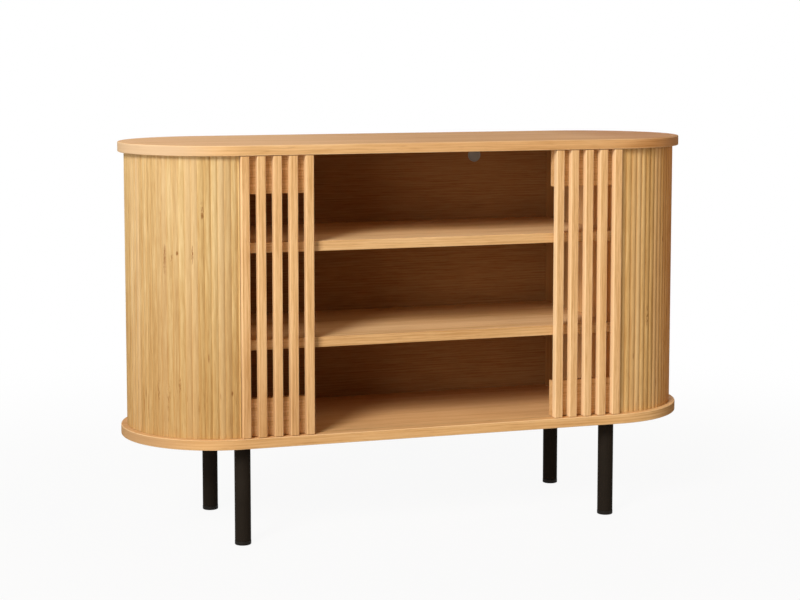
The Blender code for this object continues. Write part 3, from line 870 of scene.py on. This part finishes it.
def bamboo(side):
    """Strips with upright grain, a tone per strip, painted shading in grooves, small knots and
    specks.

    Painted light makes the left sheet paler above and painted shade makes it darker below.
    """
    t = Tree(side + "_bamboo")
    point = object_point(t)
    run, angle, z = around(t, point)
    reed = t.math("DIVIDE", t.math("SUBTRACT", angle, REED_START), REED_PITCH)
    reed = t.math("SUBTRACT", reed, FIRST_REED[side])
    strip = t.math("FLOOR", reed)
    off_valley = t.math("ABSOLUTE", t.math("SUBTRACT", reed, t.math("ROUND", reed)))
    tone = t.white(t.math("ADD", strip, TONE_SEED))
    pink = t.white(t.math("ADD", strip, PINK_SEED))
    slide = t.math("ADD", z, t.math("MULTIPLY", tone, STRIP_SLIDE))
    shifted = t.join(run, t.math("MULTIPLY", strip, STRIP_LAYER), slide)
    value, pores = grain_value(t, shifted, "Z", fine=1.3, lines=0.0, broad_share=0.15)

    def drawn_noise(stretch, *settings):
        return t.noise(t.vector("MULTIPLY", shifted, (1.0, 1.0, stretch)), *settings)

    def reach(degrees, height, wide, tall):
        """Distance from a spot, as a share of its half width and half height."""
        across = t.math("SUBTRACT", angle, math.radians(degrees))
        across = t.math("DIVIDE", across, wide / CREST_RADIUS)
        upright = t.math("DIVIDE", t.math("SUBTRACT", z, height), tall)
        squares = t.math("ADD", t.math("POWER", across, 2.0), t.math("POWER", upright, 2.0))
        return t.math("SQRT", squares)

    patches = drawn_noise(*PATCHES)
    mixed = t.math("MULTIPLY_ADD", t.math("SUBTRACT", tone, 0.5), TONE_SHARE, value)
    mixed = t.math("MULTIPLY_ADD", t.math("SUBTRACT", patches, 0.5), PATCH_SHARE, mixed)
    colour = t.ramp(mixed, *zip(BAMBOO_STOPS, (BAMBOO_DARK, BAMBOO_MID, BAMBOO_LIGHT)))
    colour = t.mix(t.span(pink, *PINK_STRIPS), colour, BAMBOO_PINK)
    colour = t.mix(t.math("MULTIPLY", pores, BAMBOO_PORES), colour, BAMBOO_DARK)
    dash = t.math("SUBTRACT", drawn_noise(*DASHES), t.span(z, *DASH_LIMIT))
    colour = t.mix(t.span(dash, *DASH_MASK), colour, BAMBOO_STREAK)
    # Painted light and shade for each sheet
    colour = t.mix(1.0, colour, BAMBOO_SIDE_PAINTED_LIGHT[side], "MULTIPLY")
    # Painted shade at the sheet's far end
    far = t.math("MULTIPLY", t.span(angle, *FAR_RISE), t.span(angle, *FAR_FALL))
    colour = t.mix(far, colour, FAR_END_PAINTED_SHADE[side], "MULTIPLY")
    # Painted light above and painted shade below, on the left sheet only
    height = t.math("MULTIPLY_ADD", patches, FADE_EDGE, z)
    fade = t.ramp(t.span(height, *FADE_HEIGHT), (0.0, PAINTED_SHADE_BELOW), (1.0, PAINTED_LIGHT_ABOVE))
    colour = t.mix(FADE_PAINT_SHARE[side], colour, fade, "MULTIPLY")
    # Painted light in the left grooves, painted shade in the right grooves
    groove = t.span(off_valley, 0.0, GROOVE_REACH, GROOVE_SHARE[side], 0.0)
    colour = t.mix(groove, colour, GROOVE_PAINTED_LIGHT_AND_SHADE[side], "MULTIPLY")

    wobble = t.math("SUBTRACT", t.noise(point, WOBBLE_SCALE, detail=3.0), 0.5)
    wobble = t.math("MULTIPLY", wobble, WOBBLE)
    for *spot, strength in KNOTS[side]:
        mask = t.span(t.math("ADD", reach(*spot), wobble), *KNOT_EDGE, 0.0, strength)
        colour = t.mix(mask, colour, KNOT_BROWN)
    dots = t.span(drawn_noise(*DOTS), *DOT_MASK)
    for cluster in SPECKS[side]:
        mask = t.math("MULTIPLY", dots, t.span(reach(*cluster), *SPECK_EDGE))
        colour = t.mix(mask, colour, KNOT_BROWN)
    finish_wood(t, colour, value, pores, roughness=0.55, gloss=0.04)
    return t


def plastic(name, colour, roughness, gloss=0.5):
    """Moulded plastic with a fine matt texture."""
    t = Tree(name)
    point = own_point(t)
    cloud = t.noise(point, CLOUD_SCALE, detail=3.0)
    speckle = t.noise(point, SPECKLE_SCALE)
    light = tuple(c * MOULD_LIFT for c in colour)
    shine = t.shine(speckle, roughness, MOULD_SHINE)
    t.finish(t.mix(cloud, colour, light), shine, t.bump(speckle, *MOULD_BUMP), gloss)
    return t


def paint(name, colour, roughness):
    """Matt powder coat: a low orange-peel surface with faint dust."""
    t = Tree(name)
    point = own_point(t)
    peel = t.noise(point, PEEL_SCALE)
    cloud = t.noise(point, DUST_SCALE, detail=4.0)
    light = tuple(c * DUST_LIFT for c in colour)
    shine = t.shine(cloud, roughness, PAINT_SHINE)
    t.finish(t.mix(cloud, colour, light), shine, t.bump(peel, *PEEL_BUMP), PAINT_GLOSS)
    return t


def steel(name):
    """Zinc-plated steel with faint brushing."""
    t = Tree(name)
    brushed = t.noise(t.vector("MULTIPLY", own_point(t), BRUSH_STRETCH), BRUSH_SCALE, detail=3.0)
    colour = t.ramp(brushed, *zip(NOISE_SPREAD, (STEEL_DARK, STEEL_LIGHT)))
    shine = t.span(brushed, *NOISE_SPREAD, *STEEL_ROUGHNESS)
    t.finish(colour, shine, t.bump(brushed, *BRUSH_BUMP))
    t.shader.inputs["Metallic"].default_value = 1.0
    return t


def dress_boards():
    """The top and the base."""
    top = board("top_board", "top_panel", "top_oak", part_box("top_panel")[0].z)
    base = board("base_board", "base_panel", "base_oak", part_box("base_panel")[1].z)
    # Painted light or shade at the boards' ends
    top_end_paint = (TOP_LEFT_END_PAINTED_LIGHT, PALE_BAND_TURN), (TOP_RIGHT_END_PAINTED_SHADE, BAND_TURN)
    base_end_paint = (BASE_LEFT_END_PAINTED_SHADE, BAND_TURN), (BASE_RIGHT_END_PAINTED_SHADE, BAND_TURN)
    board_oak("top_oak", TOP_PAINTED_SHADE, TOP_FACE_PAINTED_LIGHT, top_end_paint).place_on(top)
    base_oak = board_oak("base_oak", BASE_PAINTED_LIGHT_AND_SHADE, BASE_FACE_PAINTED_LIGHT, base_end_paint)
    paint_front_light(base_oak, BASE_FRONT_PAINTED_LIGHT).place_on(base)


def dress_panels():
    """The shelves, rails, side panels and back, which keep their solids."""
    shelves = [NODES["lower_shelf"], NODES["upper_shelf"]]
    paint_front_light(oak("level_oak", "X", tone=SHELF_TONE), SHELF_FRONT_PAINTED_LIGHT).place_on(*shelves)
    rails = [NODES[f"{side}_door_{edge}_rail"] for side in SIDES for edge in ("top", "bottom")]
    oak("rail_oak", "X", tone=RAIL_TONE).place_on(*rails)
    panels = [NODES[side + "_side_panel"] for side in SIDES]
    side_oak("side_oak").place_on(*panels)
    back = NODES["back_panel"]
    # The back panel's oak is darkened as painted shade, on both of its faces
    back_oak = oak("back_oak", "X", 0.60, BACK_PAINTED_SHADE, gloss=0.03, fine=2.2, broad_share=0.12)
    back_oak.place_on(back)
    ease_edges(*shelves, back, *rails, *panels)


def dress_hardware():
    """The hidden parts, which keep their solids."""
    glide = plastic("glide_plastic", GLIDE_BLACK, roughness=0.45)
    bright = steel("pin_steel")
    dowel = oak("dowel_beech", "Z", roughness=0.6)
    for name, obj in NODES.items():
        if name.endswith("_dowel"):
            dowel.place_on(obj)
        elif "_glide_" in name:
            glide.place_on(obj)
        elif name.endswith(("_pin", "_bolt")):
            bright.place_on(obj)


def dress():
    """Builds the detailed pieces and gives every piece its material."""
    dress_boards()
    for side, sign in SIDES.items():
        bamboo(side).place_on(tambour(side, sign))
    slat_oak("slat_oak").place_on(*build_slats())
    dress_panels()
    legs = build_legs()
    paint("leg_paint", LEG_BLACK, roughness=0.42).place_on(*legs["leg"])
    plastic("foot_plastic", FOOT_BLACK, roughness=0.55, gloss=0.10).place_on(*legs["foot"])
    plastic("grommet_plastic", GROMMET_GREY, roughness=0.50).place_on(*build_grommet())
    steel("fastener_steel").place_on(*build_screws())
    dress_hardware()


def build_stage():
    """A pale floor that fades into a white surround."""
    shape = bmesh.new()
    bmesh.ops.create_circle(shape, cap_ends=True, segments=FLOOR_STEPS, radius=FLOOR_RADIUS)
    floor = new_object("floor", shape)
    floor.location.z = -FLOOR_DROP
    t = Tree("pale_floor")
    point = object_point(t)
    tone = t.noise(point, FLOOR_SCALE, detail=3.0)
    colour = t.ramp(tone, *zip(NOISE_SPREAD, (FLOOR_DARK, FLOOR_LIGHT)))
    t.finish(colour, FLOOR_ROUGHNESS, gloss=0.0)
    glow = t.node("ShaderNodeEmission", {"Color": (1, 1, 1, 1), "Strength": 1.0})
    path = t.node("ShaderNodeLightPath").outputs
    seen = path["Is Camera Ray"]
    for ray in MIRROR_RAYS:
        seen = t.math("MAXIMUM", seen, path[ray])
    away = t.node("ShaderNodeVectorMath", {0: point}, operation="LENGTH").outputs["Value"]
    share = t.math("MULTIPLY", seen, t.span(away, *FLOOR_GLOW))
    blend = t.node("ShaderNodeMixShader", {0: share, 1: t.shader.outputs[0], 2: glow.outputs[0]})
    t.links.new(blend.outputs[0], t.nodes["Material Output"].inputs["Surface"])
    t.place_on(floor)


def build_world():
    """Dim ambient light around a background that looks white."""
    world = bpy.data.worlds.new("studio")
    bpy.context.scene.world = world
    world.use_nodes = True
    nodes, links = world.node_tree.nodes, world.node_tree.links
    nodes.clear()
    path = nodes.new("ShaderNodeLightPath").outputs
    seen = path["Is Camera Ray"]
    for ray in MIRROR_RAYS:
        either = nodes.new("ShaderNodeMath")
        either.operation = "MAXIMUM"
        links.new(seen, either.inputs[0])
        links.new(path[ray], either.inputs[1])
        seen = either.outputs[0]
    blend = nodes.new("ShaderNodeMixShader")
    links.new(seen, blend.inputs[0])
    for socket, strength in ((blend.inputs[1], AMBIENT), (blend.inputs[2], 1.0)):
        sky = nodes.new("ShaderNodeBackground")
        sky.inputs["Color"].default_value = (1.0, 1.0, 1.0, 1.0)
        sky.inputs["Strength"].default_value = strength
        links.new(sky.outputs[0], socket)
    out = nodes.new("ShaderNodeOutputWorld")
    links.new(blend.outputs[0], out.inputs["Surface"])


def lamp(name, azimuth, elevation, distance, size, energy, colour, target):
    """A soft disc aimed at a target from an azimuth left of the front and an elevation."""
    data = bpy.data.lights.new(name, "AREA")
    data.shape = "DISK"
    data.size = size
    data.energy = energy
    data.color = colour
    obj = bpy.data.objects.new(name, data)
    bpy.context.scene.collection.objects.link(obj)
    a, e = math.radians(azimuth), math.radians(elevation)
    way = Vector((-math.sin(a) * math.cos(e), -math.cos(a) * math.cos(e), math.sin(e)))
    obj.location = Vector(target) + way * distance
    obj.rotation_mode = "QUATERNION"
    obj.rotation_quaternion = (-way).to_track_quat("-Z", "Y")


def build_light():
    """A large key from the front left, with weaker discs around the object."""
    build_world()
    for name, settings in LAMPS.items():
        lamp(name, *settings)


def build_camera():
    """A camera from the front left, a little above the top."""
    data = bpy.data.cameras.new("camera")
    data.sensor_width = SENSOR
    data.lens = LENS
    data.shift_y = SHIFT
    camera = bpy.data.objects.new("camera", data)
    camera.location = CAMERA_PLACE
    camera.rotation_euler = (math.radians(90.0 - CAMERA_PITCH), 0.0, math.radians(CAMERA_TURN))
    bpy.context.scene.collection.objects.link(camera)
    bpy.context.scene.camera = camera


dress()
build_stage()
build_light()
build_camera()
bpy.context.scene.view_settings.view_transform = "Standard"
